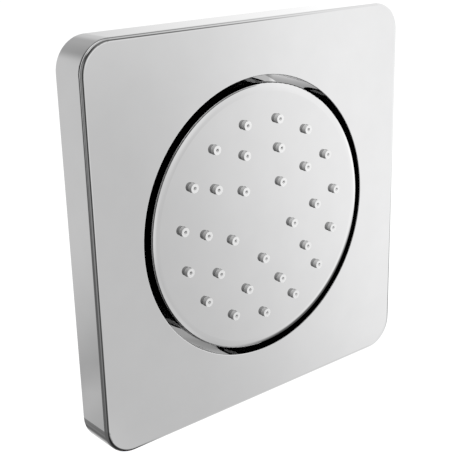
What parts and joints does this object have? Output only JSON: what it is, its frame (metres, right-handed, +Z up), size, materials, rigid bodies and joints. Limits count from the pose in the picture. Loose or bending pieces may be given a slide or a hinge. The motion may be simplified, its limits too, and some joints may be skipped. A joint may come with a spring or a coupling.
{
  "type": "shower body jet",
  "caption": "Square wall-fixed shower body jet with a chromed cover plate and a round spray disc with rubber nozzles that swivels on a ball joint.",
  "frame": {"origin": "middle of the square cover, on the wall's face, which is also the middle of the four wall screw holes", "axes": "+X to the right seen from the room, +Y into the wall along the inlet, +Z up"},
  "size_m": [0.127, 0.056, 0.127],
  "materials": {
    "polished_chrome": "polished chrome plate",
    "nozzle_silicone": "matt pale grey silicone",
    "black_foam": "closed-cell foam",
    "black_rubber": "matt moulded rubber",
    "bracket_steel": "rolled stainless sheet",
    "screw_steel": "plain stainless",
    "brass": "turned brass",
    "seat_acetal": "white acetal",
    "chamber_plastic": "black moulded plastic",
    "regulator_plastic": "green moulded plastic"
  },
  "bodies": {
    "wall_body": {"cover_plate": "polished_chrome", "wall_gasket": "black_foam", "mounting_bracket": "bracket_steel", "cover_set_screw": "screw_steel", "inlet_stem": "brass", "flange_washer": "black_rubber", "lock_washer": "screw_steel", "locknut": "brass", "inlet_screen": "screw_steel", "flow_regulator": "regulator_plastic", "regulator_ring": "black_rubber"},
    "rear_seat": {"rear_ball_seat": "seat_acetal"},
    "front_seat": {"front_ball_seat": "seat_acetal", "ball_seal": "black_rubber"},
    "spray_head": {"collar_nut": "chamber_plastic", "chamber_back": "chamber_plastic", "chamber_seal": "black_rubber", "face_screws": "screw_steel", "nozzle_mat": "nozzle_silicone", "spray_face": "polished_chrome"}
  },
  "joints": [
    {"name": "tilt_up_down", "type": "hinge", "parent": "wall_body", "child": "rear_seat", "pos_m": [0, 0.002, 0], "axis": [1, 0, 0], "range_deg": [-6, 6]},
    {"name": "tilt_left_right", "type": "hinge", "parent": "rear_seat", "child": "front_seat", "pos_m": [0, 0.002, 0], "axis": [0, 0, 1], "range_deg": [-6, 6]},
    {"name": "face_turn", "type": "hinge", "parent": "front_seat", "child": "spray_head", "pos_m": [0, 0.002, 0], "axis": [0, 1, 0], "continuous": true}
  ]
}
